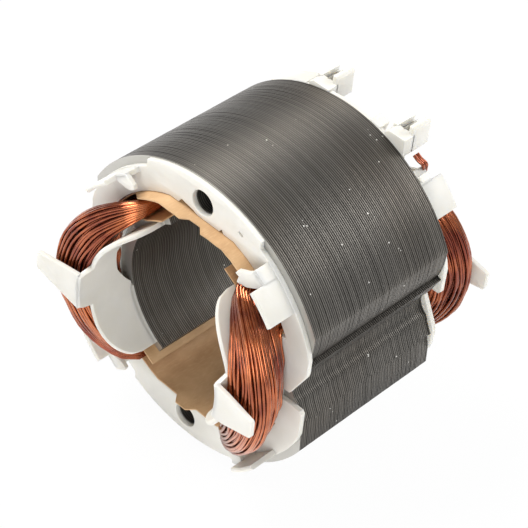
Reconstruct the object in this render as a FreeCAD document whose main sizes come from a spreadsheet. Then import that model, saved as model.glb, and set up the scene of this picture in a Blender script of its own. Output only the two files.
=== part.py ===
import FreeCAD, Part
import math
import os
import re
import Sketcher

# Wound stator of a small two-pole motor. Millimetres and degrees.
# The origin lies on the bore's axis, in the front face of the steel. The axis runs along Y,
# the front faces -Y, the poles stand at +X and -X, and the bolt holes lie above and below.

Vector = FreeCAD.Vector

SIZES = {
    # steel stack
    "stack_radius": 36.0,
    "stack_length": 40.0,
    "bore_radius": 20.4,
    "pole_angle": 62.5,
    "tip_land": 2.0,
    "shoe_slope": 31.5,
    "pole_half_width": 12.5,
    "yoke_width": 7.5,
    "yoke_flat": 9.0,
    "flank_angle": 26.9,
    "ledge_depth": 4.1,
    "ledge_up": 12.5,
    "notch_depth": 5.15,
    "notch_up": 8.45,
    "tooth_depth": 4.15,
    "tooth_up": 8.1,
    "foot_depth": 5.5,
    "foot_up": 5.33,
    "groove_depth": 6.15,
    "groove_up": 3.7,
    "groove_radius": 4.25,
    "bolt_inset": 5.0,
    "bolt_radius": 2.85,
    # slot liners
    "liner_thickness": 0.3,
    "liner_gap": 0.1,
    "liner_overhang": 1.55,
    "liner_front_top": 4.4,
    "liner_front_bottom": 3.0,
    "liner_rear": 3.0,
    # insulators
    "plate_thickness": 1.2,
    "plate_inset": 1.8,
    "cap_inset": 0.2,
    "cap_angle": 62.0,
    "plate_edge_gap": 0.2,
    "side_inset": 3.8,
    "side_low": 13.0,
    "side_high": 10.7,
    "split_low": 3.9,
    "split_high": 1.0,
    "split_inset": 10.0,
    "corner_inset": 7.7,
    "corner_up": 6.1,
    "collar_width": 1.05,
    "collar_height": 0.4,
    "wall_thickness": 1.1,
    "wall_angle": 57.3,
    "wall_height": 11.8,
    "wall_shoulder": 6.0,
    "wall_bend": 8.0,
    "window_low": 4.9,
    "window_high": 10.2,
    "window_turn": 7.0,
    "window_knee": 4.1,
    "window_depth": 5.6,
    "tab_height": 15.2,
    "tab_thickness": 1.1,
    "tab_beyond_coil": 1.1,
    "tab_root": 4.9,
    "tab_end": 2.5,
    "tab_corner": 0.9,
    "tab_bite": 0.25,
    "fin_inset": 2.0,
    "fin_thickness": 1.1,
    "fin_start": 37.5,
    "fin_end": 51.0,
    "fin_height": 8.2,
    # coils
    "coil_gap": 0.15,
    "coil_side": 13.0,
    "coil_fin_gap": 0.1,
    "coil_angle": 56.0,
    "coil_rise": 4.5,
    "coil_height": 13.4,
    "coil_bend": 14.0,
    "seat_angle": 18.0,
    "seat_inset": 5.8,
    "bundle_slant": 3.0,
    "bundle_crown": 3.0,
    "coil_slope_start": 11.0,
    "coil_slope_inset": 8.8,
    # terminals
    "housing_near": 10.9,
    "housing_step": 21.7,
    "housing_width": 5.6,
    "housing_sink": 4.4,
    "housing_height": 4.5,
    "housing_extra": 1.7,
    "housing_length": 8.1,
    "housing_wall": 1.3,
    "housing_ledge": 1.6,
    "pocket_base": 1.2,
    "clip_gap": 0.1,
    "clip_thickness": 0.5,
    "clip_length": 4.6,
    "clip_height": 3.5,
    "clip_knee": 1.6,
    "post_beyond": 0.4,
    "post_width": 1.0,
    "post_angle": 54.2,
    "post_span": 2.4,
    "post_height": 3.2,
    # coil leads
    "lead_radius": 0.4,
    "lead_spread": 0.95,
    "lead_inset": 1.0,
    "lead_height": 4.0,
    "lead_angle": 56.5,
}

# Places that follow from the sizes.
PLACES = {
    "slot_radius": "(stack_radius - yoke_width)",
    "slot_top": "(stack_radius - yoke_flat)",
    "ledge_across": "(stack_radius - ledge_depth)",
    "notch_across": "(stack_radius - notch_depth)",
    "tooth_across": "(stack_radius - tooth_depth)",
    "foot_across": "(stack_radius - foot_depth)",
    "groove_across": "(stack_radius - groove_depth)",
    "bolt_place": "(stack_radius - bolt_inset)",
    "plate_radius": "(stack_radius - plate_inset)",
    "cap_radius": "(stack_radius - cap_inset)",
    "side_across": "(stack_radius - side_inset)",
    "split_across": "(stack_radius - split_inset)",
    "corner_across": "(stack_radius - corner_inset)",
    "collar_radius": "(bolt_radius + collar_width)",
    "fin_outer": "(stack_radius - fin_inset)",
    "fin_inner": "(fin_outer - fin_thickness)",
    "coil_outer": "(fin_inner - coil_fin_gap)",
    "seat_outer": "(coil_outer - seat_inset)",
    "coil_slope_end": "(coil_outer - coil_slope_inset)",
    "tab_reach": "(coil_outer + tab_beyond_coil)",
    "housing_bottom": "(stack_radius - housing_sink)",
    "housing_top": "(housing_bottom + housing_height)",
    "housing_high": "(housing_top + housing_extra)",
    "pocket_floor": "(housing_bottom + pocket_base)",
    "clip_top": "(pocket_floor + clip_height)",
    "post_outer": "(stack_radius + post_beyond)",
    "lead_ring": "(stack_radius - lead_inset)",
}
WORD = re.compile(r"\b(" + "|".join(SIZES) + r")\b")
PLACE = re.compile(r"\b(" + "|".join(PLACES) + r")\b")
PLANE_ALONG = "XZ_Plane"

doc = FreeCAD.newDocument("Stator")
sheet = doc.addObject("Spreadsheet::Sheet", "Sizes")
for row, (alias, size) in enumerate(SIZES.items(), 1):
    sheet.set(f"A{row}", alias)
    sheet.set(f"B{row}", str(size))
    sheet.setAlias(f"B{row}", alias)
doc.recompute()


def rule(text):
    """A formula in sizes and places, written out in the sheet's aliases."""
    while PLACE.search(text):
        text = PLACE.sub(lambda found: PLACES[found[0]], text)
    return WORD.sub(r"Sizes.\1", text)


def value(text):
    """The number that a formula gives now."""
    result = sheet.evalExpression(rule(text))
    return float(getattr(result, "Value", result))


def bind(item, name, text):
    item.setExpression(name, rule(text))


def new_body(label):
    body = doc.addObject("PartDesign::Body", label)
    body.Label = label
    body.Placement = FreeCAD.Placement()
    return body


def new_sketch(body, name, role=PLANE_ALONG, offset=None):
    """Sketch on an origin plane; on the XZ plane its offset counts towards -Y."""
    plane = [item for item in body.Origin.OriginFeatures if item.Role == role][0]
    sketch = body.newObject("Sketcher::SketchObject", name)
    sketch.AttachmentSupport = [(plane, "")]
    sketch.MapMode = "FlatFace"
    if offset:
        bind(sketch, "AttachmentOffset.Base.z", offset)
    return sketch


def pin(sketch, edge, end, across, up):
    """Hold one end of an edge at the place that two formulas give."""
    for kind, axis, text in (("DistanceX", -2, across), ("DistanceY", -1, up)):
        if text == "0":
            sketch.addConstraint(Sketcher.Constraint("PointOnObject", edge, end, axis))
            continue
        number = sketch.addConstraint(Sketcher.Constraint(kind, -1, 1, edge, end, value(text)))
        sketch.renameConstraint(number, f"{kind}_{edge}_{end}")
        bind(sketch, f"Constraints.{kind}_{edge}_{end}", text)


def arc_between(first, last, radius):
    """The shorter arc between two points; a negative radius bends it clockwise."""
    chord = last - first
    rise = math.sqrt(max(radius ** 2 - chord.Length ** 2 / 4, 0))
    aside = Vector(-chord.y, chord.x, 0).normalize() * rise
    centre = (first + last) / 2 + (aside if radius > 0 else -aside)
    ends = (first, last) if radius > 0 else (last, first)
    angles = [math.atan2(point.y - centre.y, point.x - centre.x) for point in ends]
    if angles[1] < angles[0]:
        angles[1] += 2 * math.pi
    return Part.ArcOfCircle(Part.Circle(centre, Vector(0, 0, 1), abs(radius)), *angles)


def draw(sketch, corners):
    """Close an outline through corners: (across, up, radius of the arc to the next or None)."""
    base = len(sketch.Geometry)
    places = [Vector(value(across), value(up), 0) for across, up, _ in corners]
    ends = []
    for number, (_, _, bend) in enumerate(corners):
        first = places[number]
        last = places[(number + 1) % len(corners)]
        if bend is None:
            sketch.addGeometry(Part.LineSegment(first, last))
            ends.append((1, 2))
            continue
        sketch.addGeometry(arc_between(first, last, value(bend)))
        ends.append((1, 2) if value(bend) > 0 else (2, 1))
    for number, (across, up, bend) in enumerate(corners):
        after = (number + 1) % len(corners)
        sketch.addConstraint(Sketcher.Constraint(
            "Coincident", base + number, ends[number][1], base + after, ends[after][0]))
        pin(sketch, base + number, ends[number][0], across, up)
        if bend is not None:
            hold = sketch.addConstraint(Sketcher.Constraint("Radius", base + number, abs(value(bend))))
            sketch.renameConstraint(hold, f"bend_{base + number}")
            bind(sketch, f"Constraints.bend_{base + number}", bend.lstrip("-"))


def draw_circle(sketch, across, up, radius):
    edge = sketch.addGeometry(Part.Circle(Vector(value(across), value(up), 0), Vector(0, 0, 1), value(radius)))
    pin(sketch, edge, 3, across, up)
    hold = sketch.addConstraint(Sketcher.Constraint("Radius", edge, value(radius)))
    sketch.renameConstraint(hold, f"round_{edge}")
    bind(sketch, f"Constraints.round_{edge}", radius)


def flip(text):
    return "0" if text == "0" else f"-({text})"


def turned(corners):
    """The same outline turned half round the axis."""
    return [(flip(across), flip(up), bend) for across, up, bend in corners]


def mirrored(corners, side=True):
    """The outline reversed in its mirror: left for right, or up for down."""
    bends = [bend for _, _, bend in corners]
    bends = bends[-2::-1] + bends[-1:]
    points = [(flip(a), u) if side else (a, flip(u)) for a, u, _ in corners[::-1]]
    return [(across, up, bend) for (across, up), bend in zip(points, bends)]


def ring(quarter, top_bend, side_bend):
    """Full outline from its upper right quarter, which runs from the side to the top."""
    first = quarter[:-1] + [quarter[-1][:2] + (top_bend,)]
    second = mirrored(quarter)
    second = second[:-1] + [second[-1][:2] + (side_bend,)]
    half = first + second
    return half + turned(half)


def extrude(body, name, sketch, length, forward=False, cut=False):
    """Pad or pocket; forward runs to -Y from the XZ plane, otherwise to +Y."""
    feature = body.newObject("PartDesign::Pocket" if cut else "PartDesign::Pad", name)
    feature.Profile = sketch
    bind(feature, "Length", length)
    feature.Reversed = forward if cut else not forward
    body.Tip = feature
    doc.recompute()
    return feature


# Shared places -----------------------------------------------------------------------------

SLOT_SIDE = "sqrt(slot_radius ^ 2 - pole_half_width ^ 2)"
SLOT_FLAT = "sqrt(slot_radius ^ 2 - slot_top ^ 2)"
LAND = "(bore_radius + tip_land)"


def shoe_line(inset, along=None, up=None):
    """Point on a line that lies inset outside the shoe's underside.

    It is found by its height, or by its distance past the shoe's tip."""
    across = f"({LAND} * cos(pole_angle) + ({inset}) * sin(shoe_slope))"
    height = f"({LAND} * sin(pole_angle) + ({inset}) * cos(shoe_slope))"
    if up is None:
        return f"{across} - {along} * cos(shoe_slope)", f"{height} + {along} * sin(shoe_slope)"
    return f"{across} + ({height} - ({up})) / tan(shoe_slope)", up


# Steel stack -------------------------------------------------------------------------------

def make_stack():
    body = new_body("lamination_stack")
    sketch = new_sketch(body, "lamination")
    draw(sketch, ring([
        ("groove_across", "groove_up", None),
        ("foot_across", "foot_up", None),
        ("tooth_across", "tooth_up", None),
        ("notch_across", "notch_up", "stack_radius / 3"),
        ("ledge_across", "ledge_up", None),
        ("stack_radius * cos(flank_angle)", "stack_radius * sin(flank_angle)", "stack_radius"),
        ("stack_radius * cos(cap_angle)", "stack_radius * sin(cap_angle)", "stack_radius"),
    ], "stack_radius", "-groove_radius"))
    corner_across, corner_up = shoe_line("0", up="pole_half_width")
    draw(sketch, ring([
        ("bore_radius * cos(pole_angle)", "bore_radius * sin(pole_angle)", None),
        (f"{LAND} * cos(pole_angle)", f"{LAND} * sin(pole_angle)", None),
        (corner_across, corner_up, None),
        (SLOT_SIDE, "pole_half_width", "slot_radius"),
        (SLOT_FLAT, "slot_top", None),
    ], None, "bore_radius"))
    for up in ("bolt_place", "-bolt_place"):
        draw_circle(sketch, "0", up, "bolt_radius")
    extrude(body, "laminations", sketch, "stack_length")
    return body


# Slot liners -------------------------------------------------------------------------------

def liner_half(inset):
    """Right half of a liner's face at a distance from the steel, from flap to top."""
    flap = shoe_line(inset, along="liner_overhang")
    corner = shoe_line(inset, up=f"pole_half_width + {inset}")
    radius = f"(slot_radius - {inset})"
    side = f"sqrt({radius} ^ 2 - (pole_half_width + {inset}) ^ 2)"
    flat = f"sqrt({radius} ^ 2 - (slot_top - {inset}) ^ 2)"
    return [
        flap + (None,),
        corner + (None,),
        (side, f"pole_half_width + {inset}", radius),
        (flat, f"slot_top - {inset}", None),
    ]


def negative(bend):
    return None if bend is None else f"-{bend}"


def make_liner(label, front, turn):
    """One folded sheet: flaps under both shoes, past both pole sides and along the yoke."""
    body = new_body(label)
    sketch = new_sketch(body, "sheet", offset=front)
    outer = liner_half("liner_gap")
    inner = liner_half("(liner_gap + liner_thickness)")
    rising = [(flip(across), up, negative(bend)) for across, up, bend in inner]
    bends = [negative(bend) for _, _, bend in inner[-2::-1]] + [None]
    falling = [corner[:2] + (bend,) for corner, bend in zip(inner[::-1], bends)]
    draw(sketch, outer + mirrored(outer) + rising + falling)
    extrude(body, "paper", sketch, f"stack_length + {front} + liner_rear")
    body.Placement = FreeCAD.Placement(Vector(), FreeCAD.Rotation(Vector(0, 1, 0), turn))
    return body


# Insulators --------------------------------------------------------------------------------

def polar(radius, angle):
    return f"{radius} * cos({angle})", f"{radius} * sin({angle})"


def sector(inner, outer, start, end):
    """Outline of a stretch of ring between two radii and two angles."""
    return [
        polar(outer, start) + (outer,),
        polar(outer, end) + (None,),
        polar(inner, end) + (negative(inner),),
        polar(inner, start) + (None,),
    ]


WALL_OUTER = "(bore_radius + wall_thickness)"
WALL_TOP = "bore_radius * sin(wall_angle)"
ROOT_ANGLE = "asin(tab_root / bore_radius)"


def plate_outline():
    """Outer edge of the end plate; it is split on both sides and the same turned half round."""
    half = [
        ("split_across", "-split_high", None),
        ("corner_across", "-split_high", None),
        ("side_across", "corner_up", None),
        ("side_across", "side_high", None),
        ("sqrt(plate_radius ^ 2 - side_low ^ 2)", "side_low", "plate_radius"),
        polar("plate_radius", "cap_angle") + (None,),
        polar("cap_radius", "cap_angle") + ("cap_radius",),
        polar("cap_radius", "(180 - cap_angle)") + (None,),
        polar("plate_radius", "(180 - cap_angle)") + ("plate_radius",),
        ("-sqrt(plate_radius ^ 2 - side_low ^ 2)", "side_low", None),
        ("-side_across", "side_high", None),
        ("-side_across", "split_low", None),
        ("-split_across", "split_low", None),
    ]
    return half + turned(half)


def plate_window():
    """Inner edge: it follows the bore, the shoes, the pole sides and the yoke."""
    up = "(pole_half_width - plate_edge_gap)"
    quarter = [
        polar("bore_radius", "wall_angle") + (None,),
        polar(WALL_OUTER, "wall_angle") + (None,),
        shoe_line("-plate_edge_gap", up=up) + (None,),
        (f"sqrt(slot_radius ^ 2 - {up} ^ 2)", up, "slot_radius"),
        (SLOT_FLAT, "slot_top", None),
    ]
    return ring(quarter, None, "bore_radius")


def trim_walls(body):
    """Round the walls' shoulders off and open the window at the root of the left one."""
    sketch = new_sketch(body, "shoulders", "YZ_Plane")
    shoulder = [
        ("-wall_height", f"{WALL_TOP} - wall_bend", "-wall_bend * 1.05"),
        ("-wall_shoulder", f"{WALL_TOP} + wall_thickness", None),
        ("-wall_height - wall_thickness", f"{WALL_TOP} + wall_thickness", None),
        ("-wall_height - wall_thickness", f"{WALL_TOP} - wall_bend", None),
    ]
    draw(sketch, shoulder)
    draw(sketch, mirrored(shoulder, side=False))
    cut = extrude(body, "shoulder_cut", sketch, "2 * plate_radius", cut=True)
    cut.Midplane = True
    sketch = new_sketch(body, "window", "YZ_Plane")
    draw(sketch, [
        ("-plate_thickness", "-window_low", None),
        ("-plate_thickness", "window_high", None),
        ("-window_depth", "window_high", None),
        ("-window_depth", "window_turn", None),
        ("-window_knee", "0", None),
    ])
    extrude(body, "window_cut", sketch, "plate_radius", forward=False, cut=True)


def add_tabs(body):
    for name, mirror in (("right", False), ("left", True)):
        inner = "(bore_radius + tab_bite)"
        corners = [
            (inner, "-tab_root", None),
            ("tab_reach - tab_corner", "-tab_end", "tab_corner"),
            ("tab_reach", "-tab_end + tab_corner", None),
            ("tab_reach", "tab_end - tab_corner", "tab_corner"),
            ("tab_reach - tab_corner", "tab_end", None),
            (inner, "tab_root", None),
        ]
        sketch = new_sketch(body, f"{name}_tab", offset="tab_height - tab_thickness")
        draw(sketch, mirrored(corners) if mirror else corners)
        extrude(body, f"{name}_tab_pad", sketch, "tab_thickness", forward=True)


def make_insulator(label):
    """Moulded end plate with a wall along each pole's bore, two tabs and four coil guards."""
    body = new_body(label)
    sketch = new_sketch(body, "plate")
    draw(sketch, plate_outline())
    draw(sketch, plate_window())
    for up in ("bolt_place", "-bolt_place"):
        draw_circle(sketch, "0", up, "bolt_radius")
    extrude(body, "plate_pad", sketch, "plate_thickness", forward=True)
    sketch = new_sketch(body, "tab_roots")
    root = sector("bore_radius", WALL_OUTER, f"-{ROOT_ANGLE}", ROOT_ANGLE)
    draw(sketch, root)
    draw(sketch, turned(root))
    extrude(body, "tab_root_pad", sketch, "tab_height", forward=True)
    sketch = new_sketch(body, "walls")
    wall = sector("bore_radius", WALL_OUTER, ROOT_ANGLE, "wall_angle")
    for outline in (wall, turned(wall), mirrored(wall), turned(mirrored(wall))):
        draw(sketch, outline)
    extrude(body, "wall_pad", sketch, "wall_height", forward=True)
    trim_walls(body)
    add_tabs(body)
    sketch = new_sketch(body, "guards")
    guard = sector("fin_inner", "fin_outer", "fin_start", "fin_end")
    for outline in (guard, turned(guard), mirrored(guard), turned(mirrored(guard))):
        draw(sketch, outline)
    extrude(body, "guard_pad", sketch, "fin_height", forward=True)
    sketch = new_sketch(body, "collars")
    for up in ("bolt_place", "-bolt_place"):
        draw_circle(sketch, "0", up, "collar_radius")
        draw_circle(sketch, "0", up, "bolt_radius")
    extrude(body, "collar_pad", sketch, "plate_thickness + collar_height", forward=True)
    return body


# The rear insulator stands turned about X, so its own down is the stator's up.
REAR = FreeCAD.Rotation(Vector(1, 0, 0), 180)
HOUSINGS = [
    ("upper_right", "housing_near", False),
    ("upper_left", "(housing_near - housing_step)", False),
    ("lower_left", "housing_near", True),
    ("lower_right", "(housing_near - housing_step)", True),
]


def add_housings(body):
    front = new_sketch(body, "housing_fronts")
    cups = new_sketch(body, "housing_cups", offset="plate_thickness + housing_ledge")
    posts = new_sketch(body, "posts")
    for _, near, lower in HOUSINGS:
        far = f"({near} + housing_width)"
        block = [
            (near, "-housing_bottom", None),
            (near, "-housing_top", None),
            (far, "-housing_top", None),
            (far, "-housing_bottom", None),
        ]
        cup = [
            (near, "-housing_bottom", None),
            (near, "-housing_top", None),
            (f"{near} + housing_wall", "-housing_top", None),
            (f"{near} + housing_wall", "-pocket_floor", None),
            (f"{far} - housing_wall", "-pocket_floor", None),
            (f"{far} - housing_wall", "-housing_high", None),
            (far, "-housing_high", None),
            (far, "-housing_bottom", None),
        ]
        draw(front, turned(block) if lower else block)
        draw(cups, turned(cup) if lower else cup)
    post = sector("(plate_radius - post_width)", "post_outer", "-post_angle", "-post_angle + post_span")
    for outline in (post, turned(post)):
        draw(posts, outline)
    extrude(body, "housing_front_pad", front, "plate_thickness + housing_ledge", forward=True)
    extrude(body, "housing_cup_pad", cups, "housing_length - plate_thickness - housing_ledge", forward=True)
    extrude(body, "post_pad", posts, "post_height", forward=True)


def place_rear(body):
    bind(body, "Placement.Base.y", "stack_length")
    body.Placement = FreeCAD.Placement(Vector(0, value("stack_length"), 0), REAR)


def make_clip(label, near, lower):
    """Bent contact strip standing in a housing's cup."""
    body = new_body(label)
    sketch = new_sketch(body, "strip", offset="plate_thickness + housing_ledge + clip_gap")
    low = f"({near} + housing_wall + clip_gap)"
    high = f"({near} + housing_width - housing_wall - clip_gap)"
    middle = f"({near} + housing_width / 2)"
    knee = "(-clip_top + clip_knee)"
    corners = [
        (low, "-pocket_floor", None),
        (low, knee, None),
        (middle, "-clip_top", None),
        (high, knee, None),
        (high, "-pocket_floor", None),
        (f"{high} - clip_thickness", "-pocket_floor", None),
        (f"{high} - clip_thickness", f"{knee} + clip_thickness", None),
        (middle, "-clip_top + 2 * clip_thickness", None),
        (f"{low} + clip_thickness", f"{knee} + clip_thickness", None),
        (f"{low} + clip_thickness", "-pocket_floor", None),
    ]
    draw(sketch, turned(corners) if lower else corners)
    extrude(body, "clip_pad", sketch, "clip_length", forward=True)
    place_rear(body)
    return body


# Coils -------------------------------------------------------------------------------------

def end_turn(body, name, angle, outside, rear):
    """Stretch of the coil's end bundle, swept round the bore's axis beside the pole.

    Its section lies against the pole's wall; outside gives its other corners: (reach, height)."""
    sketch = new_sketch(body, f"{name}_section", "XY_Plane")
    inner = f"({WALL_OUTER} + coil_gap)"
    corners = [(inner, outside[0][1])] + outside + [(inner, outside[-1][1])]
    place = "stack_length + {}" if rear else "-{}"
    draw(sketch, [(reach, place.format(height), None) for reach, height in corners])
    turn = body.newObject("PartDesign::Revolution", name)
    turn.Profile = sketch
    turn.ReferenceAxis = (sketch, ["V_Axis"])
    bind(turn, "Angle", f"2 * {angle}")
    turn.Midplane = True
    body.Tip = turn
    doc.recompute()


def make_coil(label, turn):
    """Closed outer form of one winding: two slot sides and a bundle across each end."""
    body = new_body(label)
    sketch = new_sketch(body, "slot_sides", offset="coil_rise")
    inset = "(liner_gap + liner_thickness + coil_gap)"
    radius = f"(slot_radius - {inset})"
    base = f"(pole_half_width + {inset})"
    shoe = shoe_line(inset, up=base)
    side = [
        shoe + (None,),
        (f"sqrt({radius} ^ 2 - {base} ^ 2)", base, radius),
        ("coil_side", f"sqrt({radius} ^ 2 - coil_side ^ 2)", None),
        ("coil_side", f"{base} + ({shoe[0]} - coil_side) * tan(shoe_slope)", None),
    ]
    draw(sketch, side)
    draw(sketch, mirrored(side, side=False))
    extrude(body, "slot_side_pad", sketch, "stack_length + 2 * coil_rise")
    for end, rear in (("front", False), ("rear", True)):
        slant = ("coil_outer - bundle_slant", "coil_rise")
        end_turn(body, f"{end}_bundle", "coil_angle", [
            slant,
            ("coil_outer", "(coil_height - bundle_crown)"),
            ("coil_outer - bundle_crown", "coil_height"),
        ], rear)
        end_turn(body, f"{end}_seat", "seat_angle", [
            ("seat_outer", "(plate_thickness + coil_gap)"),
            slant,
        ], rear)
    sketch = new_sketch(body, "end_slopes", "YZ_Plane")
    top = "(coil_outer + 1)"
    slope = [
        ("-coil_height", "coil_slope_start", "-coil_bend"),
        ("-coil_rise", "coil_slope_end", None),
        ("-coil_rise", top, None),
        ("-coil_height - 1", top, None),
        ("-coil_height - 1", "coil_slope_start", None),
    ]
    back = [(f"stack_length - ({across})", up, bend) for across, up, bend in slope[::-1]]
    bends = [None, None, None, "-coil_bend", None]
    back = [corner[:2] + (bend,) for corner, bend in zip(back, bends)]
    for outline in (slope, back):
        draw(sketch, outline)
        draw(sketch, mirrored(outline, side=False))
    cut = extrude(body, "slope_cut", sketch, "3 * coil_outer", cut=True)
    cut.Midplane = True
    body.Placement = FreeCAD.Placement(Vector(), FreeCAD.Rotation(Vector(0, 1, 0), turn))
    return body


# Coil leads --------------------------------------------------------------------------------

def route(points):
    """Wire of straight runs joined by tangent arcs as large as their runs allow."""
    edges = []
    start = points[0]
    for before, corner, after in zip(points, points[1:], points[2:]):
        arrive = (corner - before).normalize()
        leave = (after - corner).normalize()
        half_turn = arrive.getAngle(leave) / 2
        trim = 0.45 * min((corner - before).Length, (after - corner).Length)
        radius = trim / math.tan(half_turn)
        first = corner - arrive * trim
        last = corner + leave * trim
        inward = (leave - arrive).normalize()
        centre = corner + inward * math.hypot(radius, trim)
        middle = centre - inward * radius
        edges.append(Part.LineSegment(start, first).toShape())
        edges.append(Part.Arc(first, middle, last).toShape())
        start = last
    edges.append(Part.LineSegment(start, points[-1]).toShape())
    return Part.Wire(edges)


def make_strand(label, points):
    """One round wire along a route."""
    radius = value("lead_radius")
    path = route(points)
    section = Part.Wire(Part.makeCircle(radius, points[0], points[1] - points[0]))
    tube = path.makePipeShell([section], True, False)
    expected = math.pi * radius ** 2 * path.Length
    if abs(tube.Volume / expected - 1) > 0.02:
        raise ValueError(f"{label}: the tube's volume is off")
    strand = doc.addObject("Part::Feature", label)
    strand.Label = label
    strand.Shape = tube
    return strand


def lead_points(wall, side, up, shift):
    """Route from a housing's wall round the rim and in to the rear bundle of its coil."""
    ring_radius = value("lead_ring")
    start_across = wall + value("lead_radius")
    start = math.degrees(math.acos(start_across / ring_radius))
    bend = value("lead_angle")
    middle = (start + bend) / 2
    end_up = value("coil_slope_end")
    low = value("lead_height")
    high = value("coil_rise") + value("lead_spread") * 0.75
    stops = [(ring_radius, start, low), (ring_radius, middle, low), (ring_radius, bend, (low + high) / 2)]
    places = [(r * math.cos(math.radians(a)), r * math.sin(math.radians(a)), y) for r, a, y in stops]
    across = places[-1][0]
    places.append((across - value("lead_radius"), (places[-1][1] + end_up) / 2, high))
    places.append((across - 2 * value("lead_radius"), end_up, high))
    rear = value("stack_length") + shift * value("lead_spread") / 2
    return [Vector(side * x, rear + y, up * z) for x, z, y in places]


# The whole stator ---------------------------------------------------------------------------

pieces = [
    make_stack(),
    make_liner("slot_liner_top", "liner_front_top", 0),
    make_liner("slot_liner_bottom", "liner_front_bottom", 180),
    make_insulator("front_insulator"),
]
rear_insulator = make_insulator("rear_insulator")
add_housings(rear_insulator)
place_rear(rear_insulator)
pieces.append(rear_insulator)
pieces.append(make_coil("coil_right", 0))
pieces.append(make_coil("coil_left", 180))
for name, near, lower in HOUSINGS:
    pieces.append(make_clip(f"terminal_clip_{name}", near, lower))
for name, near, lower in HOUSINGS:
    side = 1 if name.endswith("right") else -1
    up = -1 if lower else 1
    wall = value(near) + value("housing_width") if side * up > 0 else -value(near)
    for letter, shift in (("a", -1), ("b", 1)):
        strand = make_strand(f"coil_lead_{name}_{letter}", lead_points(wall, side, up, shift))
        pieces.append(strand)
doc.recompute()

for item in doc.Objects:
    if "Invalid" in item.State or "Error" in item.State:
        raise RuntimeError(f"{item.Label}: {item.State}")
for piece in pieces:
    if piece.Shape.isNull() or not piece.Shape.isValid():
        raise RuntimeError(f"{piece.Label} has no valid shape")
os.makedirs("parts", exist_ok=True)
for piece in pieces:
    piece.Shape.exportStep(f"parts/{piece.Label}.step")
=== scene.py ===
import math
import random
import bmesh
import bpy
from mathutils import Matrix, Vector


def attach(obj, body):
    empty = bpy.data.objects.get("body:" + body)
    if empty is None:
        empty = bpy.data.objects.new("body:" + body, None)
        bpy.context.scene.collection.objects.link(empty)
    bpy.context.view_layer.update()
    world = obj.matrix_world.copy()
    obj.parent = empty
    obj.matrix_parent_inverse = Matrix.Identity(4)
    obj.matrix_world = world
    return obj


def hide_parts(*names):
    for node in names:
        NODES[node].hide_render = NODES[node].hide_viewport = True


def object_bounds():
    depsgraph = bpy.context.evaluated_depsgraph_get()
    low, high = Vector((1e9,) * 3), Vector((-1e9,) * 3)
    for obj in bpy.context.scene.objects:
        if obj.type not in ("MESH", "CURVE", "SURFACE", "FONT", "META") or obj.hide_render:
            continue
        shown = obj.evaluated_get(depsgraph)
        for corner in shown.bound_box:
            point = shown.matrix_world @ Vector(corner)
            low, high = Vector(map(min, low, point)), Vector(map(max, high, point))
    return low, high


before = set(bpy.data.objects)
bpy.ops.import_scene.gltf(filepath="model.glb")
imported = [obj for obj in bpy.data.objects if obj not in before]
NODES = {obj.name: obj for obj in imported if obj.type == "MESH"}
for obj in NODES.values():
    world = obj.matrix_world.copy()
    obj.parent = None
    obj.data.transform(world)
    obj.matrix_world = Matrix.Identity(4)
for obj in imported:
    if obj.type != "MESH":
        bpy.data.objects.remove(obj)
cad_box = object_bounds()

# Dress of a wound two-pole stator. Lengths are in metres, written as millimetres times MM.
# The bore's axis runs along Y, the front faces -Y, and the poles stand at +X and -X.
MM = 0.001

STACK_RADIUS = 36.0
STACK_LENGTH = 40.0
SHEETS = 80
PITCH = STACK_LENGTH / SHEETS
BORE_RADIUS = 20.4
POLE_ANGLE = 62.5
TIP_LAND = 2.0
SHOE_SLOPE = math.radians(31.5)
POLE_HALF_WIDTH = 12.5
SLOT_RADIUS = 28.5
SLOT_TOP = 27.0
BOLT_PLACE = 31.0
BOLT_RADIUS = 2.85
CHANNEL_CENTRE = (31.94, 0)
CHANNEL_RADIUS = 4.25

# Heights count from the steel's end face outwards, and angles from the pole's middle.
PLATE = 1.2
WALL = 1.1
WALL_ANGLE = 57.3
WALL_LEVEL_ANGLE = 24
WALL_END_HEIGHT = 4.3
WALL_RISE = 7.5
SHOULDER_ANGLE = 14.5
SHOULDER_HEIGHT = 12.0
TAB_ANGLE = 12.6
TAB_HEIGHT = 15.2
TAB_LONG = 33.9
TAB_SHORT = 31.2
TAB_CORNER = 0.9
WINDOW_ROOT = 23.6
WINDOW_START = -14.0
WINDOW_END = 30.0
GUARD_RADIUS = 32.9
GUARD_MIDDLE = 44.2
GUARD_HALF = 6.7
GUARD_HEIGHT = 8.2
STEM_MIDDLE = 53.6
STEM_HALF = 3.1
STEM_HEIGHT = 5.0
HOOK_TOP = 5.0
HOOK_THICKNESS = 1.1
HOUSING_NEARS = (10.9, -10.8)
HOUSING_WIDTH = 5.6
HOUSING_BOTTOM = 31.6
HOUSING_HIGH = 37.8
HOUSING_LEDGE = 3.2
HOUSING_LENGTH = 8.1
RIM_BUMPS = ((75.0, 79.5, 3.7), (109.0, 127.0, 5.3))
POST_ANGLE = 53.0


# Outlines ------------------------------------------------------------------------------------

def polar(radius, degrees):
    return (radius * math.cos(math.radians(degrees)), radius * math.sin(math.radians(degrees)))


def arc(radius, start, end, steps, centre=(0, 0)):
    """Points along an arc, both ends included."""
    points = []
    for step in range(steps + 1):
        across, up = polar(radius, start + (end - start) * step / steps)
        points.append((centre[0] + across, centre[1] + up))
    return points


def angle_of(point):
    return math.degrees(math.atan2(point[1], point[0]))


def four_sided(quarter):
    """Full ring from its upper right quarter, which runs from the side to the top."""
    left = [(-across, up) for across, up in reversed(quarter)]
    half = quarter + left
    return half + [(-across, -up) for across, up in half]


def turned(points):
    return [(-across, -up) for across, up in points]


def circle(radius, up=0.0, across=0.0, steps=32):
    return arc(radius, 0, 360 - 360 / steps, steps - 1, (across, up))


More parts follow.
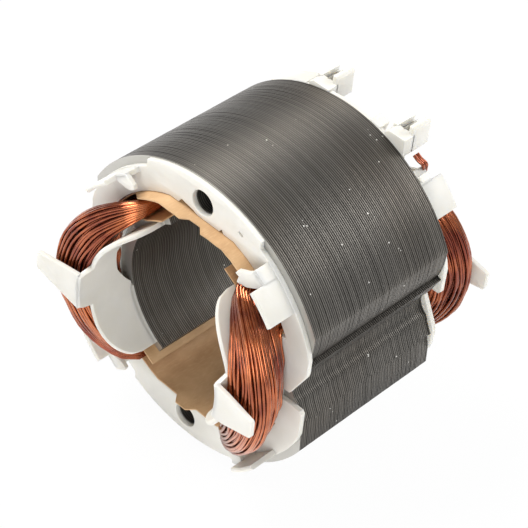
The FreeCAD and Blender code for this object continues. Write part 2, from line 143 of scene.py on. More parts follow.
def shoe_land(into_slot):
    """Outer end of the shoe's land, moved square to the shoe's back by a distance."""
    across, up = polar(BORE_RADIUS + TIP_LAND, POLE_ANGLE)
    return (across + into_slot * math.sin(SHOE_SLOPE), up + into_slot * math.cos(SHOE_SLOPE))


def shoe_corner(land, side):
    """Where the shoe's back, through land, meets the pole's side."""
    return (land[0] + (land[1] - side) / math.tan(SHOE_SLOPE), side)


def slot_edge(shoe_inset, side_inset):
    """Quarter of the edge round a slot, from the shoe's corner to the yoke's flat."""
    side = POLE_HALF_WIDTH - side_inset
    corner = shoe_corner(shoe_land(-shoe_inset), side)
    start = math.degrees(math.asin(side / SLOT_RADIUS))
    end = math.degrees(math.asin(SLOT_TOP / SLOT_RADIUS))
    return [corner] + arc(SLOT_RADIUS, start, end, 10)


def sheet_outlines():
    """The stamped sheet: outer edge with its side grooves, inner edge with its shoes, bolt holes."""
    channel = arc(CHANNEL_RADIUS, 180, 119.4, 6, CHANNEL_CENTRE)
    outer = channel[1:]
    # The tooth beside the channel, the slit above it, and the flank up to the barrel.
    outer += [(30.5, 5.33), (31.85, 8.1), (30.85, 8.45), (31.45, 10.4), (31.9, 12.5)]
    outer += arc(STACK_RADIUS, 26.9, 89, 30)
    inner = arc(BORE_RADIUS, 1, POLE_ANGLE, 20) + [polar(BORE_RADIUS + TIP_LAND, POLE_ANGLE)]
    inner += slot_edge(0, 0)
    holes = [circle(BOLT_RADIUS, BOLT_PLACE), circle(BOLT_RADIUS, -BOLT_PLACE)]
    return [four_sided(outer), four_sided(inner)] + holes


# Mesh helpers --------------------------------------------------------------------------------

def finish_mesh(name, mesh, smooth_angle=35):
    """An object for a mesh whose corners lie in millimetres, shaded smooth up to an angle."""
    mesh.transform(Matrix.Scale(MM, 4))
    mesh.update()
    mesh.shade_smooth()
    mesh.set_sharp_from_angle(angle=math.radians(smooth_angle))
    piece = bpy.data.objects.new(name, mesh)
    bpy.context.scene.collection.objects.link(piece)
    return piece


def plate_mesh(outlines, near, far, edge=0.0):
    """Flat plate with holes between two places along Y; its edges are rounded by edge."""
    curve = bpy.data.curves.new("plate", "CURVE")
    curve.dimensions = "2D"
    curve.fill_mode = "BOTH"
    curve.extrude = (far - near) / 2 - edge
    curve.bevel_depth = edge
    curve.bevel_resolution = 2
    curve.offset = -edge
    for points in outlines:
        spline = curve.splines.new("POLY")
        spline.points.add(len(points) - 1)
        for point, (across, up) in zip(spline.points, points):
            point.co = (across, up, 0, 1)
        spline.use_cyclic_u = True
    holder = bpy.data.objects.new("plate", curve)
    mesh = bpy.data.meshes.new_from_object(holder)
    bpy.data.objects.remove(holder)
    bpy.data.curves.remove(curve)
    mesh.transform(Matrix.Translation((0, (near + far) / 2, 0)) @ Matrix.Rotation(math.pi / 2, 4, "X"))
    return mesh


def joined(meshes):
    """One mesh of several, with touching points merged within each."""
    total = bmesh.new()
    for mesh in meshes:
        total.from_mesh(mesh)
        bpy.data.meshes.remove(mesh)
    bmesh.ops.remove_doubles(total, verts=total.verts, dist=1e-5)
    result = bpy.data.meshes.new("moulding")
    total.to_mesh(result)
    total.free()
    return result


def swept_mesh(name, sections):
    """Closed mesh through sections that have equally many points, with a face at each end."""
    mesh = bmesh.new()
    rows = [[mesh.verts.new(point) for point in section] for section in sections]
    count = len(rows[0])
    for one, other in zip(rows, rows[1:]):
        for number in range(count):
            after = (number + 1) % count
            mesh.faces.new((one[number], one[after], other[after], other[number]))
    mesh.faces.new(rows[0])
    mesh.faces.new(reversed(rows[-1]))
    bmesh.ops.recalc_face_normals(mesh, faces=mesh.faces)
    result = bpy.data.meshes.new(name)
    mesh.to_mesh(result)
    mesh.free()
    return result


def curved_wall(radius, thick, angles, low, high, crown=0.35):
    """Wall along an arc round the axis, facing -Y; low and high give its edges by angle."""
    sections = []
    for angle in angles:
        bottom = low(angle)
        top = high(angle)
        section = [
            (radius, bottom), (radius, (bottom + top) / 2), (radius, top - crown),
            (radius + thick * 0.25, top - crown * 0.2), (radius + thick * 0.5, top),
            (radius + thick * 0.75, top - crown * 0.2), (radius + thick, top - crown),
            (radius + thick, (bottom + top) / 2), (radius + thick, bottom),
        ]
        placed = []
        for reach, rise in section:
            across, up = polar(reach, angle)
            placed.append((across, -rise, up))
        sections.append(placed)
    return swept_mesh("wall", sections)


# Insulators ----------------------------------------------------------------------------------

def wall_height(angle):
    """Height of a pole wall above the steel: it rounds down towards both ends."""
    away = abs(angle)
    if away < TAB_ANGLE:
        return TAB_HEIGHT
    if away < SHOULDER_ANGLE:
        share = (away - TAB_ANGLE) / (SHOULDER_ANGLE - TAB_ANGLE)
        return TAB_HEIGHT - (TAB_HEIGHT - SHOULDER_HEIGHT) * share
    share = max(0.0, (away - WALL_LEVEL_ANGLE) / (WALL_ANGLE - WALL_LEVEL_ANGLE))
    return WALL_END_HEIGHT + WALL_RISE * math.sqrt(max(0.0, 1 - share ** 2.2))


def window_height(angle):
    """Lower edge of the left wall, which is open at its root over a stretch."""
    up = -angle
    if not WINDOW_START < up < WINDOW_END:
        return PLATE * 0.5
    if up < 0:
        return PLATE * 0.5 + 3.5 * (1 - up / WINDOW_START) ** 0.8
    return min(5.6, 4.1 + 0.075 * up)


def spread(start, end, steps):
    return [start + (end - start) * step / steps for step in range(steps + 1)]


def pole_wall(left):
    angles = spread(-WALL_ANGLE, -14.6, 26) + spread(-14.0, 14.0, 28) + spread(14.6, WALL_ANGLE, 26)
    if left:
        return curved_wall(BORE_RADIUS, WALL, [180 + a for a in angles],
                           lambda a: window_height(a - 180), lambda a: wall_height(a - 180))
    return curved_wall(BORE_RADIUS, WALL, angles, lambda a: PLATE * 0.5, wall_height)


def plate_outlines():
    """Outer edge of the end plate, and its inner edge along the walls and the slots."""
    half = [(26.0, -1.0), (28.3, -1.0), (32.0, 6.1), (32.2, 7.2), (32.2, 10.7)]
    half += arc(34.2, angle_of((31.63, 13.0)), 61.4, 16)
    half += [polar(34.6, 61.9)] + arc(35.8, 62.9, 117.1, 24) + [polar(34.6, 118.1)]
    half += arc(34.2, 118.6, 180 - angle_of((31.63, 13.0)), 16)
    half += [(-32.2, 10.7), (-32.2, 4.6), (-31.6, 3.9), (-26.0, 3.9)]
    outer = half + turned(half)
    inner = arc(BORE_RADIUS, 1, WALL_ANGLE, 20) + [polar(BORE_RADIUS + WALL, WALL_ANGLE)]
    inner += slot_edge(0.2, 0.2)
    edge = []
    for across, up in four_sided(inner):
        on_bore = math.hypot(across, up) < BORE_RADIUS + 0.1
        if on_bore and across < 0 and -5.5 < up < 10.5:
            across, up = across * WINDOW_ROOT / BORE_RADIUS, up * WINDOW_ROOT / BORE_RADIUS
        edge.append((across, up))
        if up > SLOT_TOP - 0.01 and across > 0:
            edge += [(6.3, SLOT_TOP), (5.7, 27.9), (5.1, SLOT_TOP), (-1.2, SLOT_TOP), (-2.4, 27.5),
                     (-5.9, 28.2), (-6.7, SLOT_TOP)]
    return [outer, edge]


def tab_outline(left, reach):
    """Tapered tab on a pole wall, which holds the end bundle back."""
    tip = reach - TAB_CORNER
    points = [(20.6, -4.85), (23.5, -4.35)] + arc(TAB_CORNER, -84, 0, 5, (tip, -1.6))
    points += arc(TAB_CORNER, 0, 84, 5, (tip, 1.6)) + [(23.5, 4.35), (20.6, 4.85)]
    return turned(points) if left else points


def finger_outline(left):
    """Hook that reaches inwards over the coil where it leaves the slot."""
    if left:
        return [polar(33.9, 50.5), polar(33.9, 57.0), polar(31.4, 59.4), polar(30.4, 59.0),
                polar(30.2, 56.4), polar(30.9, 53.8), polar(32.6, 50.5)]
    return [polar(33.9, 50.5), polar(33.9, 56.0), polar(31.6, 57.4), polar(29.2, 60.4),
            polar(28.0, 60.4), polar(28.2, 58.4), polar(26.7, 57.4), polar(26.6, 56.0),
            polar(28.6, 52.8), polar(31.0, 51.0), polar(32.6, 50.5)]


def guard_parts(left, lower):
    """One coil guard with its hook, at any of the four corners."""
    parts = []
    for angle, half, height, steps in ((GUARD_MIDDLE, GUARD_HALF, GUARD_HEIGHT, 10),
                                       (STEM_MIDDLE, STEM_HALF, STEM_HEIGHT, 4)):
        middle = 180 - angle if left else angle
        middle = -middle if lower else middle
        angles = spread(middle - half, middle + half, steps)
        parts.append(curved_wall(GUARD_RADIUS, WALL, angles, lambda a: PLATE * 0.5, lambda a: height))
    hook = [(-across if left else across, -up if lower else up) for across, up in finger_outline(left)]
    return parts + [plate_mesh([hook], -HOOK_TOP, -HOOK_TOP + HOOK_THICKNESS, 0.2)]


def moulding_parts(left_is_short):
    """Everything that both insulators share; one of the two tabs is cut shorter."""
    holes = [circle(BOLT_RADIUS + 0.1, BOLT_PLACE), circle(BOLT_RADIUS + 0.1, -BOLT_PLACE)]
    slot = [(10.0, 30.2), (11.2, 29.6), (11.6, 30.2), (10.4, 30.8)]
    parts = [plate_mesh(plate_outlines() + holes + [slot], -PLATE, 0, 0.15)]
    for left in (False, True):
        parts.append(pole_wall(left))
        reach = TAB_SHORT if left == left_is_short else TAB_LONG
        parts.append(plate_mesh([tab_outline(left, reach)], -TAB_HEIGHT, -TAB_HEIGHT + WALL, 0.2))
    for left in (False, True):
        for lower in (False, True):
            parts += guard_parts(left, lower)
    return parts


def block_outline(near):
    """Section of a terminal housing where it is closed."""
    far = near + HOUSING_WIDTH
    top = 36.0
    return [(near, HOUSING_BOTTOM), (far, HOUSING_BOTTOM), (far, top), (near + 1.2, top), (near, top - 1.0)]


def cup_outline(near):
    """Section of a terminal housing where it is a cup, with a higher right wall."""
    far = near + HOUSING_WIDTH
    top = 36.2
    return [
        (near, HOUSING_BOTTOM), (far, HOUSING_BOTTOM), (far, HOUSING_HIGH - 0.6),
        (far - 0.5, HOUSING_HIGH), (far - 1.3, HOUSING_HIGH), (far - 1.5, 34.4), (far - 2.2, 32.8),
        (near + 2.2, 32.8), (near + 1.5, 34.4), (near + 1.3, top), (near, top),
    ]


def rear_parts():
    """Terminal housings, rim bumps and wire posts of the rear insulator, in the stator's own place."""
    plates = []
    for near in HOUSING_NEARS:
        plates.append((block_outline(near), 0.0, HOUSING_LEDGE, 0.2))
        plates.append((cup_outline(near), HOUSING_LEDGE - 0.6, HOUSING_LENGTH, 0.2))
    for start, end, height in RIM_BUMPS:
        plates.append((arc(36.0, start, end, 6) + arc(33.0, end, start, 6), 0.3, height, 0.3))
    post = arc(36.4, POST_ANGLE - 1.1, POST_ANGLE + 1.1, 3)
    post += arc(33.3, POST_ANGLE + 1.2, POST_ANGLE - 1.2, 3)
    plates.append((post, 0.3, 3.2, 0.25))
    parts = []
    for outline, low, high, edge in plates:
        for points in (outline, turned(outline)):
            parts.append(plate_mesh([points], STACK_LENGTH + low, STACK_LENGTH + high, edge))
    return parts


def make_insulators(nylon):
    front = finish_mesh("front_moulding", joined(moulding_parts(False)))
    rear_mesh = joined(moulding_parts(True))
    rear_mesh.transform(Matrix.Translation((0, STACK_LENGTH, 0)) @ Matrix.Rotation(math.pi, 4, "X"))
    rear = finish_mesh("rear_moulding", joined([rear_mesh] + rear_parts()))
    for piece, node in ((front, "front_insulator"), (rear, "rear_insulator")):
        piece.data.materials.clear()
        piece.data.materials.append(nylon)
        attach(piece, "root")
        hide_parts(node)


# Slot liners ---------------------------------------------------------------------------------

LINER_GAP = 0.1
LINER_THICKNESS = 0.3
LINER_OVERHANG = 1.55
LINER_REAR = 3.0


def liner_line(inset):
    """A liner's line at a distance from the steel, from the right flap over the top to the left."""
    land = shoe_land(inset)
    start = (land[0] - LINER_OVERHANG * math.cos(SHOE_SLOPE),
             land[1] + LINER_OVERHANG * math.sin(SHOE_SLOPE))
    side = POLE_HALF_WIDTH + inset
    corner = shoe_corner(land, side)
    radius = SLOT_RADIUS - inset
    flat = math.degrees(math.asin((SLOT_TOP - inset) / radius))
    flap = [(start[0] + (corner[0] - start[0]) * step / 6, start[1] + (corner[1] - start[1]) * step / 6)
            for step in range(6)]
    rise = arc(radius, math.degrees(math.asin(side / radius)), flat, 16)
    top = [(rise[-1][0] * (1 - step / 6), SLOT_TOP - inset) for step in range(1, 6)]
    half = flap + [corner] + rise + top
    return half + [(0.0, SLOT_TOP - inset)] + [(-across, up) for across, up in reversed(half)]


def liner_front(across, up, yoke, rng):
    """How far the paper stands out of the slot's front: most at the flaps and along the yoke."""
    reach = math.hypot(across, up)
    if reach > 27.0:
        return max(0.6, yoke - max(0.0, abs(across) - 15.5) * 0.9) + rng.uniform(-0.06, 0.06)
    return max(0.8, 3.0 - max(0.0, abs(across) - 14.0) * 0.35) + rng.uniform(-0.05, 0.05)


def make_liner(name, node, yoke, lower, seed, paper):
    """Folded paper with its own thickness; its front edge follows how it was pushed in."""
    rng = random.Random(seed)
    side = -1 if lower else 1
    rear = STACK_LENGTH + LINER_REAR
    sections = []
    for near, far in zip(liner_line(LINER_GAP), liner_line(LINER_GAP + LINER_THICKNESS)):
        front = -liner_front(near[0], near[1], yoke, rng)
        corners = ((near, front), (near, rear), (far, rear), (far, front))
        sections.append([(across * side, along, up * side) for (across, up), along in corners])
    liner = finish_mesh(name, swept_mesh(name, sections))
    liner.data.materials.append(paper)
    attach(liner, "root")
    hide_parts(node)


# Steel stack ---------------------------------------------------------------------------------

SHEET_PLAY = 0.0012


def stacking_tree(steel):
    """Geometry nodes that lay one sheet behind another, each smaller by a random hair."""
    tree = bpy.data.node_groups.new("sheet_stacking", "GeometryNodeTree")
    tree.interface.new_socket("Geometry", in_out="INPUT", socket_type="NodeSocketGeometry")
    for name, kind in (("Sheets", "Int"), ("Pitch", "Float"), ("Play", "Float")):
        tree.interface.new_socket(name, in_out="INPUT", socket_type="NodeSocket" + kind)
    tree.interface.new_socket("Geometry", in_out="OUTPUT", socket_type="NodeSocketGeometry")
    nodes = tree.nodes
    link = tree.links.new
    source = nodes.new("NodeGroupInput")
    result = nodes.new("NodeGroupOutput")
    line = nodes.new("GeometryNodeMeshLine")
    step = nodes.new("ShaderNodeCombineXYZ")
    link(source.outputs["Pitch"], step.inputs["Y"])
    link(source.outputs["Sheets"], line.inputs["Count"])
    link(step.outputs[0], line.inputs["Offset"])
    place = nodes.new("GeometryNodeInstanceOnPoints")
    link(line.outputs["Mesh"], place.inputs["Points"])
    link(source.outputs["Geometry"], place.inputs["Instance"])
    smallest = nodes.new("ShaderNodeMath")
    smallest.operation = "SUBTRACT"
    smallest.inputs[0].default_value = 1.0
    link(source.outputs["Play"], smallest.inputs[1])
    scale = nodes.new("FunctionNodeRandomValue")
    scale.data_type = "FLOAT"
    scale.inputs[3].default_value = 1.0
    scale.inputs["Seed"].default_value = 7
    link(smallest.outputs[0], scale.inputs[2])
    sizes = nodes.new("ShaderNodeCombineXYZ")
    sizes.inputs["Y"].default_value = 1.0
    link(scale.outputs[1], sizes.inputs["X"])
    link(scale.outputs[1], sizes.inputs["Z"])
    link(sizes.outputs[0], place.inputs["Scale"])
    real = nodes.new("GeometryNodeRealizeInstances")
    paint = nodes.new("GeometryNodeSetMaterial")
    paint.inputs["Material"].default_value = steel
    link(place.outputs[0], real.inputs[0])
    link(real.outputs[0], paint.inputs[0])
    link(paint.outputs[0], result.inputs[0])
    return tree


def make_stack(steel):
    """Eighty sheets of their own mesh, stacked by geometry nodes and kept as plain mesh."""
    sheet = finish_mesh("sheet", plate_mesh(sheet_outlines(), 0, PITCH))
    tree = stacking_tree(steel)
    modifier = sheet.modifiers.new("stacking", "NODES")
    modifier.node_group = tree
    values = {"Sheets": SHEETS, "Pitch": PITCH * MM, "Play": SHEET_PLAY}
    for item in tree.interface.items_tree:
        if item.in_out == "INPUT" and item.name in values:
            modifier[item.identifier] = values[item.name]
    bpy.context.view_layer.update()
    evaluated = sheet.evaluated_get(bpy.context.evaluated_depsgraph_get())
    stack_mesh = bpy.data.meshes.new_from_object(evaluated)
    sheet.modifiers.clear()
    bpy.data.objects.remove(sheet)
    stack = bpy.data.objects.new("steel_sheets", stack_mesh)
    bpy.context.scene.collection.objects.link(stack)
    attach(stack, "root")
    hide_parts("lamination_stack")


# Coils ---------------------------------------------------------------------------------------

WIRE_RADIUS = 0.36
WIRE_PITCH = 0.75
BUNDLE_LOW = 1.9
BUNDLE_HIGH = 13.0
BUNDLE_NEAR = 22.0
BUNDLE_LEAN = 1.3
BUNDLE_FAR = 26.8
BUNDLE_FLARE = 5.6
TURN_STEPS = 26


def bundle_near(height):
    """Inner reach of the end bundle: it leans in over the wall's rim."""
    return BUNDLE_NEAR - BUNDLE_LEAN * height ** 3


def bundle_far(height):
    """Outer reach of the end bundle: it flares as it rises."""
    return BUNDLE_FAR + BUNDLE_FLARE * height ** 0.7


def bundle_places(rng):
    """Wires over the bundle's outer layers, as shares along its height and its reach."""
    columns = int((bundle_far(0.6) - bundle_near(0.6)) / WIRE_PITCH)
    rows = int((BUNDLE_HIGH - BUNDLE_LOW) / (WIRE_PITCH * 0.87))
    places = []
    for row in range(rows + 1):
        for column in range(columns + 1):
            share = (column + 0.5 * (row % 2)) / (columns + 0.5)
            height = row / rows
            corner = (abs(share - 0.5) * 2) ** 4 + (abs(height - 0.45) / 0.55) ** 4
            depth = (abs(share - 0.5) * 2) ** 3 + (abs(height - 0.45) / 0.55) ** 3
            if corner > 1.15 or depth < 0.12:
                continue
            places.append((height, share + rng.uniform(-0.02, 0.02)))
    return places


def slot_place(height, share):
    """Where a wire runs in its slot: it fills the space between the shoe and the yoke."""
    near_pole = Vector((22.7 + 1.3 * share, 13.4, 0))
    near_mouth = Vector((13.6, 19.2 + 4.6 * share, 0))
    return near_pole.lerp(near_mouth, height ** 0.9)


def wire_points(height, share, rng):
    """Closed path of one turn round the pole."""
    top = slot_place(height, share)
    angle = math.atan2(top.y, top.x)
    slot_reach = top.to_2d().length
    reach = bundle_near(height) + (bundle_far(height) - bundle_near(height)) * share
    rise = BUNDLE_LOW + (BUNDLE_HIGH - BUNDLE_LOW) * height
    start = 1.2 + 1.6 * height
    waves = [(rng.uniform(-0.2, 0.2), rng.uniform(0, 6.28), rng.choice((2, 3, 4))) for _ in range(4)]
    points = []
    for rear in (False, True):
        for step in range(TURN_STEPS + 1):
            share_round = step / TURN_STEPS
            turn = 2 * share_round - 1 if rear else 1 - 2 * share_round
            here = angle * turn
            lift = max(0.0, math.cos(math.pi / 2 * turn))
            swell = lift ** 0.75
            climb = lift ** 0.55
            sway = sum(a * math.sin(n * math.pi * turn + p) for a, p, n in waves[:2]) * lift
            heave = sum(a * math.sin(n * math.pi * turn + p) for a, p, n in waves[2:]) * lift
            distance = slot_reach + (reach - slot_reach) * swell + sway
            distance = max(min(distance, bundle_far(1)), bundle_near(height) - 0.05)
            out = min(start + (rise - start) * climb + heave, BUNDLE_HIGH + 0.1)
            along = STACK_LENGTH + out if rear else -out
            points.append(Vector((distance * math.cos(here), along, distance * math.sin(here))))
    return points


def make_coil(name, node, mirror, seed, copper):
    """Wires over the outer layers of one coil, as round tubes in one mesh."""
    rng = random.Random(seed)
    curve = bpy.data.curves.new(name, "CURVE")
    curve.dimensions = "3D"
    curve.bevel_depth = WIRE_RADIUS
    curve.bevel_resolution = 1
    for height, share in bundle_places(rng):
        points = wire_points(height, share, rng)
        spline = curve.splines.new("POLY")
        spline.points.add(len(points) - 1)
        for point, place in zip(spline.points, points):
            point.co = (-place.x if mirror else place.x, place.y, place.z, 1)
        spline.use_cyclic_u = True
    holder = bpy.data.objects.new(name, curve)
    mesh = bpy.data.meshes.new_from_object(holder)
    bpy.data.objects.remove(holder)
    coil = finish_mesh(name, mesh, 80)
    coil.data.materials.clear()
    coil.data.materials.append(copper)
    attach(coil, "root")
    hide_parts(node)


# Materials -----------------------------------------------------------------------------------

class Finish:
    """A material being wired: its nodes are added and linked in one call each."""

    def __init__(self, name, **values):
        self.material = bpy.data.materials.new(name)
        self.material.use_nodes = True
        self.tree = self.material.node_tree
        self.shader = self.tree.nodes["Principled BSDF"]
        for key, value in values.items():
            self.shader.inputs[key.replace("_", " ")].default_value = value
        self.place = self.tree.nodes.new("ShaderNodeTexCoord").outputs["Object"]

    def node(self, kind, settings=(), **inputs):
        made = self.tree.nodes.new(kind)
        for key, value in dict(settings).items():
            setattr(made, key, value)
        for key, value in inputs.items():
            socket = made.inputs[int(key[1:])] if key[0] == "i" and key[1:].isdigit() else made.inputs[key]
            if isinstance(value, bpy.types.NodeSocket):
                self.tree.links.new(value, socket)
            else:
                socket.default_value = value
        return made

    def math(self, operation, first, second=0.5):
        return self.node("ShaderNodeMath", {"operation": operation}, i0=first, i1=second).outputs[0]

    def noise(self, scale, detail=3.0, vector=None, roughness=0.5):
        texture = self.node("ShaderNodeTexNoise", Vector=vector or self.place, Scale=scale,
                            Detail=detail, Roughness=roughness)
        return texture.outputs["Fac"]

    def ramp(self, factor, low, high):
        """Factor stretched so that low gives 0 and high gives 1."""
        made = self.node("ShaderNodeMapRange", Value=factor)
        made.inputs["From Min"].default_value = low
        made.inputs["From Max"].default_value = high
        return made.outputs[0]

    def mix(self, factor, first, second, blend="MIX"):
        made = self.node("ShaderNodeMix", {"data_type": "RGBA", "blend_type": blend}, i0=factor)
        for socket, value in ((made.inputs[6], first), (made.inputs[7], second)):
            if isinstance(value, bpy.types.NodeSocket):
                self.tree.links.new(value, socket)
            else:
                socket.default_value = (*value, 1)
        return made.outputs[2]

    def bump(self, height, distance, strength=1.0):
        made = self.node("ShaderNodeBump", Height=height, Distance=distance, Strength=strength)
        self.set("Normal", made.outputs[0])

    def set(self, name, socket):
        self.tree.links.new(socket, self.shader.inputs[name])


SHEET_BRIGHTNESS = 0.55


def steel_finish():
    """Stamped electrical steel: a fine line at each sheet, painted shade that darkens the grooves,
    and bright burrs."""
    finish = Finish("stamped_steel", Metallic=0.75, Roughness=0.4)
    axes = finish.node("ShaderNodeSeparateXYZ", Vector=finish.place)
    sheets = finish.math("DIVIDE", axes.outputs["Y"], PITCH * MM)
    number = finish.math("FLOOR", finish.math("ADD", sheets, 0.001))
    within = finish.math("FRACT", sheets)
    ridge = finish.ramp(finish.math("PINGPONG", within, 0.5), 0.03, 0.38)
    tone = finish.node("ShaderNodeTexWhiteNoise", {"noise_dimensions": "1D"}, W=number).outputs["Value"]
    sheet_place = finish.node("ShaderNodeCombineXYZ", X=axes.outputs["X"], Z=axes.outputs["Z"],
                              Y=finish.math("MULTIPLY", number, 0.02)).outputs[0]
    streak = finish.noise(260.0, 4.0, sheet_place, 0.65)
    patch = finish.noise(38.0, 3.0)
    crest = finish.math("MULTIPLY", ridge, finish.ramp(streak, -1.6, 0.9))
    light = finish.math("MULTIPLY", crest, finish.math("ADD", finish.math("MULTIPLY", tone, 0.35), 0.65))
    # Painted shade: an ambient-occlusion node darkens the steel in grooves and narrow hollows within 4 mm.
    painted_shade_ao = finish.node("ShaderNodeAmbientOcclusion", Distance=4 * MM).outputs["AO"]
    light = finish.math("MULTIPLY", light, SHEET_BRIGHTNESS)
    light = finish.math("MULTIPLY", light, finish.ramp(painted_shade_ao, 0.2, 0.95))
    colour = finish.mix(light, (0.012, 0.011, 0.010), (0.42, 0.39, 0.345))
    colour = finish.mix(finish.math("MULTIPLY", finish.ramp(patch, 0.4, 0.75), 0.4), colour,
                        (0.85, 0.72, 0.6), "MULTIPLY")
    burr = finish.node("ShaderNodeTexVoronoi", Vector=finish.place, Scale=700.0).outputs["Distance"]
    rare = finish.math("LESS_THAN", finish.noise(310.0, 0.0), 0.3)
    spark = finish.math("MULTIPLY", finish.math("LESS_THAN", burr, 0.13), rare)
    colour = finish.mix(spark, colour, (0.75, 0.73, 0.68))
    from_middle = finish.math("SUBTRACT", axes.outputs["Y"], STACK_LENGTH / 2 * MM)
    from_middle = finish.math("ABSOLUTE", from_middle)
    end_face = finish.math("GREATER_THAN", from_middle, (STACK_LENGTH / 2 - 0.01) * MM)
    colour = finish.mix(end_face, colour, (0.5, 0.49, 0.46))
    finish.set("Base Color", colour)
    finish.bump(ridge, 0.00007)
    return finish.material


def nylon_finish():
    """Natural nylon: milky, a little uneven, softly glossy."""
    finish = Finish("natural_nylon", Roughness=0.38, Subsurface_Weight=0.35, Subsurface_Scale=0.0015)
    finish.shader.inputs["Subsurface Radius"].default_value = (1.0, 0.9, 0.7)
    cloud = finish.noise(90.0, 4.0)
    colour = finish.mix(finish.ramp(cloud, 0.35, 0.7), (0.70, 0.68, 0.62), (0.78, 0.765, 0.715))
    finish.set("Base Color", colour)
    finish.set("Roughness", finish.ramp(finish.noise(400.0), -0.5, 1.9))
    finish.bump(finish.noise(700.0, 4.0), 0.00004)
    return finish.material


def paper_finish():
    """Pressed insulating paper: tan, with fine fibres and a faint mottle."""
    finish = Finish("slot_paper_finish", Roughness=0.62)
    fibres = finish.node("ShaderNodeMapping", Vector=finish.place, Scale=(2600.0, 500.0, 2600.0)).outputs[0]
    grain = finish.noise(1.0, 4.0, fibres, 0.6)
    mottle = finish.noise(160.0, 5.0)
    colour = finish.mix(finish.ramp(mottle, 0.35, 0.7), (0.50, 0.30, 0.145), (0.64, 0.41, 0.215))
    fibre = finish.math("MULTIPLY", finish.ramp(grain, 0.5, 0.8), 0.4)
    colour = finish.mix(fibre, colour, (0.76, 0.54, 0.32))
    finish.set("Base Color", colour)
    finish.bump(grain, 0.00003)
    return finish.material


def copper_finish(name, deep, bright):
    """Enamelled winding wire: clear orange-brown varnish over bright copper."""
    finish = Finish(name, Metallic=0.9, Roughness=0.2, Coat_Weight=0.6, Coat_Roughness=0.1)
    patch = finish.noise(140.0, 3.0)
    colour = finish.mix(finish.ramp(patch, 0.35, 0.68), deep, bright)
    finish.set("Base Color", colour)
    finish.set("Roughness", finish.ramp(finish.noise(900.0), -0.1, 3.0))
    finish.bump(finish.noise(1200.0, 2.0), 0.00001)
    return finish.material


def contact_finish():
    """Tinned contact strip with rubbed marks."""
    finish = Finish("tinned_strip", Metallic=0.9, Roughness=0.4)
    rub = finish.noise(600.0, 4.0)
    finish.set("Base Color", finish.mix(finish.ramp(rub, 0.35, 0.7), (0.30, 0.29, 0.26), (0.52, 0.5, 0.46)))
    finish.bump(rub, 0.00003)
    return finish.material


def coat_node(name, material):
    """Give a CAD node that is shown its finish."""
    node = NODES[name]
    if not node.material_slots:
        node.data.materials.append(material)
    for place in node.material_slots:
        place.link = "OBJECT"
        place.material = material


# Stage, light and camera ---------------------------------------------------------------------

def make_stage():
    """Pale floor under the stator; seen directly it is nearly white and keeps a soft shadow."""
    bpy.ops.mesh.primitive_plane_add(size=6, location=(0, 0, cad_box[0][2] - 0.0005))
    floor = bpy.context.object
    floor.name = "floor"
    material = bpy.data.materials.new("pale_floor")
    material.use_nodes = True
    nodes = material.node_tree.nodes
    link = material.node_tree.links.new
    shader = nodes["Principled BSDF"]
    shader.inputs["Base Color"].default_value = (0.9, 0.9, 0.9, 1)
    shader.inputs["Roughness"].default_value = 0.9
    glow = nodes.new("ShaderNodeEmission")
    path = nodes.new("ShaderNodeLightPath")
    share = nodes.new("ShaderNodeMath")
    share.operation = "MULTIPLY"
    share.inputs[1].default_value = 0.97
    blend = nodes.new("ShaderNodeMixShader")
    link(path.outputs["Is Camera Ray"], share.inputs[0])
    link(share.outputs[0], blend.inputs[0])
    link(shader.outputs[0], blend.inputs[1])
    link(glow.outputs[0], blend.inputs[2])
    link(blend.outputs[0], nodes["Material Output"].inputs[0])
    floor.data.materials.append(material)


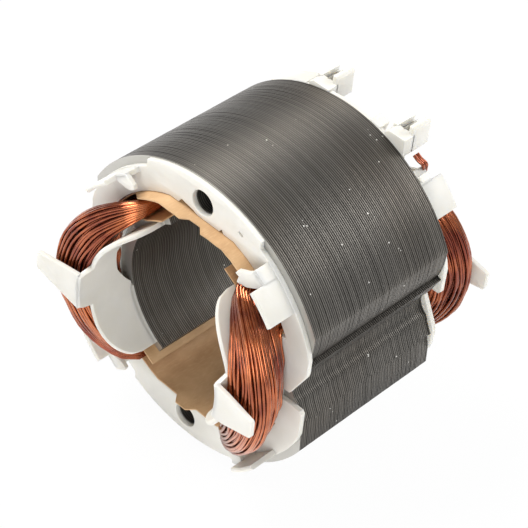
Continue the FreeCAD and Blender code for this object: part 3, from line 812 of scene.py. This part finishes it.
def make_world():
    world = bpy.data.worlds.new("studio")
    bpy.context.scene.world = world
    world.use_nodes = True
    nodes = world.node_tree.nodes
    link = world.node_tree.links.new
    soft = nodes["Background"]
    soft.inputs["Color"].default_value = (0.93, 0.96, 1.0, 1)
    soft.inputs["Strength"].default_value = 0.42
    white = nodes.new("ShaderNodeBackground")
    path = nodes.new("ShaderNodeLightPath")
    blend = nodes.new("ShaderNodeMixShader")
    link(path.outputs["Is Camera Ray"], blend.inputs[0])
    link(soft.outputs[0], blend.inputs[1])
    link(white.outputs[0], blend.inputs[2])
    link(blend.outputs[0], nodes["World Output"].inputs[0])


def add_lamp(name, place, size, watts, colour=(1, 1, 1)):
    lamp = bpy.data.lights.new(name, "AREA")
    lamp.size = size
    lamp.energy = watts
    lamp.color = colour
    holder = bpy.data.objects.new(name, lamp)
    holder.location = place
    holder.rotation_euler = (Vector((0, 0.02, 0)) - Vector(place)).to_track_quat("-Z", "Y").to_euler()
    bpy.context.scene.collection.objects.link(holder)


def make_camera():
    data = bpy.data.cameras.new("camera")
    data.sensor_width = 36
    data.lens = 131.65
    data.clip_start = 0.01
    camera = bpy.data.objects.new("camera", data)
    place = Vector((0.19752, -0.21222, 0.28293))
    target = Vector((-0.00032, 0.02, 0.00156))
    roll = math.radians(6.54)
    camera.location = place
    level = (target - place).to_track_quat("-Z", "Y").to_matrix()
    camera.rotation_euler = (level @ Matrix.Rotation(roll, 3, "Z")).to_euler()
    bpy.context.scene.collection.objects.link(camera)
    bpy.context.scene.camera = camera


# The whole scene -----------------------------------------------------------------------------

def main():
    make_stack(steel_finish())
    make_insulators(nylon_finish())
    copper = copper_finish("enamelled_wire", (0.21, 0.034, 0.012), (0.62, 0.185, 0.06))
    make_coil("right_winding", "coil_right", False, 3, copper)
    make_coil("left_winding", "coil_left", True, 8, copper)
    lead = copper_finish("lead_wire", (0.24, 0.05, 0.025), (0.42, 0.11, 0.05))
    paper = paper_finish()
    strip = contact_finish()
    make_liner("upper_paper", "slot_liner_top", 4.35, False, 5, paper)
    make_liner("lower_paper", "slot_liner_bottom", 1.1, True, 9, paper)
    for name in NODES:
        if name.startswith("coil_lead"):
            coat_node(name, lead)
        elif name.startswith("terminal_clip"):
            coat_node(name, strip)
    make_stage()
    make_world()
    add_lamp("key", (-0.35, -0.1, 0.6), 0.3, 5.2, (1.0, 0.98, 0.95))
    add_lamp("fill", (0.45, -0.55, 0.2), 0.4, 2.2)
    add_lamp("rim", (0.3, 0.5, 0.35), 0.3, 2.2)
    make_camera()
    bpy.context.scene.view_settings.view_transform = "Standard"


main()
